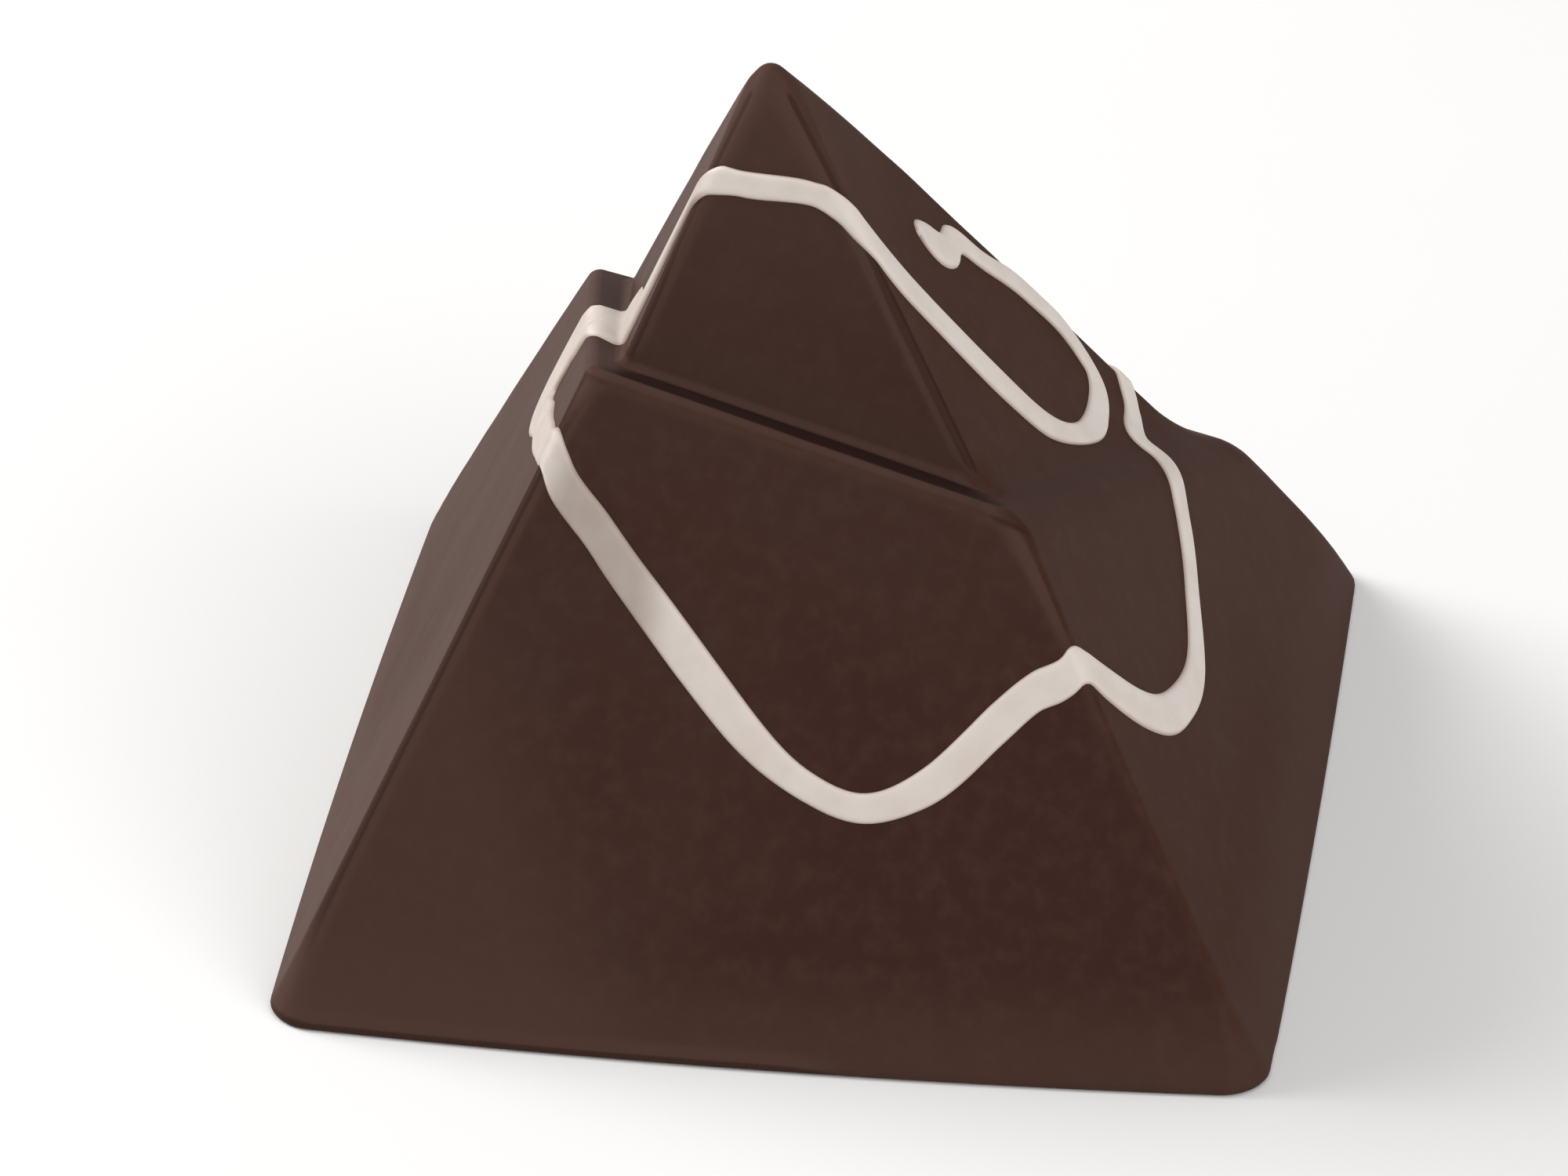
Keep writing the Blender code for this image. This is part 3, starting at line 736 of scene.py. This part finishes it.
def white_chocolate(look):
    """White chocolate: a warm ivory with faint clouds and painted shade where it faces left, a little light
    passing under its surface, and a darker, warmer tone along its edges."""
    nodes = Nodes("matt_white_chocolate")
    clouds = nodes.noise(260.0, 3.0, 0.55)
    grain = nodes.noise(1300.0, 3.0, 0.6)
    rim = nodes.kept("rim")
    colour = nodes.blend(nodes.ramp(clouds, 0.35, 0.7, 0.0, 1.0), tuple(look.pale), tuple(look.warm))
    # Painted shade on the line where it faces left and on the left ledge
    colour = nodes.blend(nodes.kept("lee"), colour, tuple(look.left_shade_tint), "MULTIPLY")
    # A darker, warmer tone along the line's edges
    colour = nodes.blend(nodes.ramp(rim, 0.8, 1.0, 0.0, 0.85), colour, tuple(look.fringe))
    nodes.link(colour, nodes.shader.inputs["Base Color"])
    nodes.link(nodes.ramp(grain, 0.3, 0.7, look.roughness - 0.05, look.roughness + 0.05),
               nodes.shader.inputs["Roughness"])
    nodes.shader.inputs["Specular IOR Level"].default_value = 0.35
    nodes.shader.inputs["Subsurface Weight"].default_value = 0.2
    nodes.shader.inputs["Subsurface Radius"].default_value = (1.0, 0.7, 0.5)
    nodes.shader.inputs["Subsurface Scale"].default_value = 0.0006
    nodes.bump(nodes.sums("ADD", clouds, nodes.sums("MULTIPLY", grain, 0.3)), 0.00006, 0.8)
    return nodes.material


def pale_floor(colour):
    """Plain pale board with the faintest unevenness."""
    nodes = Nodes("pale_floor")
    shade = nodes.ramp(nodes.noise(9.0, 2.0), 0.3, 0.7, 0.985, 1.0)
    nodes.link(nodes.blend(1.0, tuple(colour), shade, "MULTIPLY"), nodes.shader.inputs["Base Color"])
    nodes.shader.inputs["Roughness"].default_value = 0.9
    nodes.shader.inputs["Specular IOR Level"].default_value = 0.1
    return nodes.material


# Settings


class CoatingSettings(bpy.types.PropertyGroup):
    """Finish of the dark coating."""

    # Grey brown: a painted sheen over the red brown, high up and to the left
    grey: FloatVectorProperty(name="Grey brown", description="Tone high up on the front and back",
                              subtype="COLOR", size=3, min=0.0, max=1.0, default=(0.0560, 0.0278, 0.0215))
    red: FloatVectorProperty(name="Red brown", description="Tone low down on the front and back",
                             subtype="COLOR", size=3, min=0.0, max=1.0, default=(0.0495, 0.0212, 0.0166))
    # Painted warmer tone of the walls facing left or right, set against their grazing reflection
    side: FloatVectorProperty(name="Side brown", description="Tone of the left and right walls",
                              subtype="COLOR", size=3, min=0.0, max=1.0, default=(0.0530, 0.0220, 0.0142))
    # Lighter brown: the random mottle, and the painted highlights and sheen at the edges, rim, tip and
    # front's left
    mottle_and_highlight: FloatVectorProperty(name="Mottle and highlight", description="Lighter brown of the mottle and beside the edges",
                               subtype="COLOR", size=3, min=0.0, max=1.0, default=(0.080, 0.044, 0.0345))
    # Painted shade: the dark lines on the slanting edges
    edge: FloatVectorProperty(name="Edge", description="Dark red brown on the edges", subtype="COLOR",
                              size=3, min=0.0, max=1.0, default=(0.030, 0.0125, 0.0098))
    # Painted shade on the ledge's front strip
    crease: FloatVectorProperty(name="Crease", description="Dark brown of the ledge's front", subtype="COLOR",
                                size=3, min=0.0, max=1.0, default=(0.014, 0.0075, 0.006))
    roughness: FloatProperty(name="Roughness", description="Mean roughness of the satin surface",
                             min=0.05, max=1.0, default=0.5, subtype="FACTOR")
    gloss: FloatProperty(name="Gloss", description="Strength of its reflections", min=0.0, max=1.0,
                         default=0.028, subtype="FACTOR")
    wave_depth: FloatProperty(name="Wave depth", description="Depth of its faint waves", min=0.0,
                              max=0.0005, default=0.00003, unit="LENGTH", precision=5)


class WhiteLineSettings(bpy.types.PropertyGroup):
    """Size and finish of the white line."""

    height: FloatProperty(name="Height", description="Height over the coating", min=0.0001, max=0.002,
                          default=0.00035, unit="LENGTH", precision=5)
    sunk: FloatProperty(name="Edge sunk", description="Depth of its edges under the coating", min=0.00005,
                        max=0.0005, default=0.0002, unit="LENGTH", precision=5)
    unevenness: FloatProperty(name="Unevenness", description="How far its poured edges wander", min=0.0,
                              max=0.0003, default=0.00003, unit="LENGTH", precision=5)
    pale: FloatVectorProperty(name="Ivory", description="Paler of its two tones", subtype="COLOR", size=3,
                              min=0.0, max=1.0, default=(0.725, 0.655, 0.605))
    warm: FloatVectorProperty(name="Cream", description="Warmer of its two tones", subtype="COLOR",
                              size=3, min=0.0, max=1.0, default=(0.685, 0.60, 0.545))
    # Painted shade on the white line where it faces left
    left_shade_tint: FloatVectorProperty(name="Left shade tint", description="Tint on the walls that face left", subtype="COLOR",
                              size=3, min=0.0, max=1.0, default=(0.62, 0.585, 0.56))
    # Darker, warmer tone along the line's edges
    fringe: FloatVectorProperty(name="Fringe", description="Tone of its thin rim", subtype="COLOR",
                                size=3, min=0.0, max=1.0, default=(0.36, 0.24, 0.19))
    roughness: FloatProperty(name="Roughness", description="Mean roughness of its surface", min=0.05,
                             max=1.0, default=0.5, subtype="FACTOR")


class StageSettings(bpy.types.PropertyGroup):
    """The floor, the lights and the sky."""

    floor_colour: FloatVectorProperty(name="Floor", description="Colour of the floor", subtype="COLOR",
                                      size=3, min=0.0, max=1.0, default=(0.82, 0.81, 0.80))
    floor_radius: FloatProperty(name="Floor radius", description="Radius of the round floor", min=0.3,
                                max=5.0, default=1.2, unit="LENGTH")
    key_power: FloatProperty(name="Key light", description="Power of the large soft light at the left",
                             min=0.0, max=100.0, default=12.0, unit="POWER")
    fill_power: FloatProperty(name="Fill light", description="Power of the soft light at the right",
                              min=0.0, max=100.0, default=6.5, unit="POWER")
    top_power: FloatProperty(name="Top light", description="Power of the soft light overhead", min=0.0,
                             max=100.0, default=2.0, unit="POWER")
    sky: FloatProperty(name="Sky", description="Strength of the plain surroundings", min=0.0, max=3.0,
                       default=0.34)
    floor_rings: IntProperty(name="Floor rings", description="Rings of the floor's mesh", min=2, max=64,
                             default=8)


# Operators


class CAKE_OT_add_coating(bpy.types.Operator):
    """Adds the cake's body in its dark chocolate coating"""

    bl_idname = "cake.add_coating"
    bl_label = "Add coating"
    bl_options = {"REGISTER", "UNDO"}

    def execute(self, context):
        look = context.scene.cake_coating
        points, faces, shares = coating_mesh(look.wave_depth)
        add_piece("dark_coating", points, faces, dark_chocolate(look), shares)
        return {"FINISHED"}


class CAKE_OT_add_white_line(bpy.types.Operator):
    """Adds the line of white chocolate that lies over the coating"""

    bl_idname = "cake.add_white_line"
    bl_label = "Add white line"
    bl_options = {"REGISTER", "UNDO"}

    def execute(self, context):
        look = context.scene.cake_line
        waves_depth = context.scene.cake_coating.wave_depth
        points, faces, shares = line_mesh(look.height, look.sunk, look.unevenness, waves_depth)
        add_piece("white_line", points, faces, white_chocolate(look), shares)
        return {"FINISHED"}


def add_floor(radius, rings, material):
    """A round floor just under the base: its points are a distance times the cosine and sine of a turn."""
    turns = np.linspace(0.0, 2.0 * np.pi, 96, endpoint=False)
    out = radius * np.linspace(0.02, 1.0, rings) ** 1.5
    plan = out[:, None, None] * np.column_stack((np.cos(turns), np.sin(turns)))[None]
    points = np.dstack((plan, np.full(plan.shape[:2], -FLOOR_DROP))).reshape(-1, 3)
    faces = [tuple(reversed(quad)) for quad in grid_faces(rings, len(turns))]
    faces.append(tuple(range(len(turns))))
    mesh = bpy.data.meshes.new("floor")
    mesh.from_pydata(points.tolist(), [], faces)
    mesh.materials.append(material)
    floor = bpy.data.objects.new("floor", mesh)
    bpy.context.scene.collection.objects.link(floor)


def add_soft_light(name, place, size, power):
    """A large square light that faces the cake's middle."""
    lamp = bpy.data.lights.new(name, "AREA")
    lamp.shape = "SQUARE"
    lamp.size = size
    lamp.energy = power
    light = bpy.data.objects.new(name, lamp)
    light.location = place
    light.rotation_euler = (Vector(place) - LIT_POINT).to_track_quat("Z", "Y").to_euler()
    bpy.context.scene.collection.objects.link(light)


def add_camera():
    """The camera of the photograph: its axes come from its turn, rise and tilt round the origin."""
    a, e = CAMERA_TURN, CAMERA_RISE
    back = Vector((np.sin(a) * np.cos(e), -np.cos(a) * np.cos(e), np.sin(e)))
    level = Vector((np.cos(a), np.sin(a), 0.0))
    upright = back.cross(level)
    right = level * np.cos(CAMERA_TILT) + upright * np.sin(CAMERA_TILT)
    up = upright * np.cos(CAMERA_TILT) - level * np.sin(CAMERA_TILT)
    place = back * CAMERA_BACK - right * CAMERA_SIDE - up * CAMERA_LIFT
    lens = bpy.data.cameras.new("camera")
    lens.lens = CAMERA_LENS
    lens.sensor_width = 36.0
    lens.clip_start = 0.01
    lens.clip_end = 20.0
    camera = bpy.data.objects.new("camera", lens)
    axes = Matrix((right, up, back)).transposed().to_4x4()
    axes.translation = place
    camera.matrix_world = axes
    bpy.context.scene.collection.objects.link(camera)
    bpy.context.scene.camera = camera


def add_sky(strength):
    """Plain soft surroundings, brighter overhead than near the horizon."""
    world = bpy.data.worlds.new("studio")
    world.use_nodes = True
    tree = world.node_tree
    background = tree.nodes["Background"]
    place = tree.nodes.new("ShaderNodeTexCoord")
    axes = tree.nodes.new("ShaderNodeSeparateXYZ")
    ramp = tree.nodes.new("ShaderNodeMapRange")
    ramp.interpolation_type = "SMOOTHSTEP"
    ramp.inputs["From Min"].default_value = 0.0
    ramp.inputs["From Max"].default_value = 0.9
    ramp.inputs["To Min"].default_value = 0.45 * strength
    ramp.inputs["To Max"].default_value = 1.3 * strength
    tree.links.new(place.outputs["Generated"], axes.inputs[0])
    tree.links.new(axes.outputs["Z"], ramp.inputs["Value"])
    tree.links.new(ramp.outputs["Result"], background.inputs["Strength"])
    background.inputs["Color"].default_value = (1.0, 0.99, 0.98, 1.0)
    bpy.context.scene.world = world


class CAKE_OT_set_stage(bpy.types.Operator):
    """Adds the pale floor, the soft lights, the plain surroundings and the camera"""

    bl_idname = "cake.set_stage"
    bl_label = "Set stage"
    bl_options = {"REGISTER", "UNDO"}

    def execute(self, context):
        stage = context.scene.cake_stage
        add_floor(stage.floor_radius, stage.floor_rings, pale_floor(stage.floor_colour))
        add_soft_light("key_light", *KEY_LIGHT, stage.key_power)
        add_soft_light("fill_light", *FILL_LIGHT, stage.fill_power)
        add_soft_light("top_light", *TOP_LIGHT, stage.top_power)
        add_sky(stage.sky)
        add_camera()
        context.scene.view_settings.view_transform = "Standard"
        return {"FINISHED"}


class VIEW3D_PT_pyramid_cake(bpy.types.Panel):
    """Sidebar panel with the cake's pieces and their settings"""

    bl_label = "Pyramid cake"
    bl_space_type = "VIEW_3D"
    bl_region_type = "UI"
    bl_category = "Cake"

    def draw(self, context):
        scene = context.scene
        for settings, operator in ((scene.cake_coating, "cake.add_coating"),
                                   (scene.cake_line, "cake.add_white_line"),
                                   (scene.cake_stage, "cake.set_stage")):
            box = self.layout.box()
            for label in settings.bl_rna.properties.keys():
                if label not in {"rna_type", "name"}:
                    box.prop(settings, label)
            box.operator(operator)


CLASSES = (CoatingSettings, WhiteLineSettings, StageSettings, CAKE_OT_add_coating,
           CAKE_OT_add_white_line, CAKE_OT_set_stage, VIEW3D_PT_pyramid_cake)


def register():
    for kind in CLASSES:
        bpy.utils.register_class(kind)
    bpy.types.Scene.cake_coating = PointerProperty(type=CoatingSettings)
    bpy.types.Scene.cake_line = PointerProperty(type=WhiteLineSettings)
    bpy.types.Scene.cake_stage = PointerProperty(type=StageSettings)


def unregister():
    del bpy.types.Scene.cake_stage
    del bpy.types.Scene.cake_line
    del bpy.types.Scene.cake_coating
    for kind in reversed(CLASSES):
        bpy.utils.unregister_class(kind)


def main():
    register()
    bpy.ops.cake.add_coating()
    bpy.ops.cake.add_white_line()
    bpy.ops.cake.set_stage()


if __name__ == "__main__":
    main()
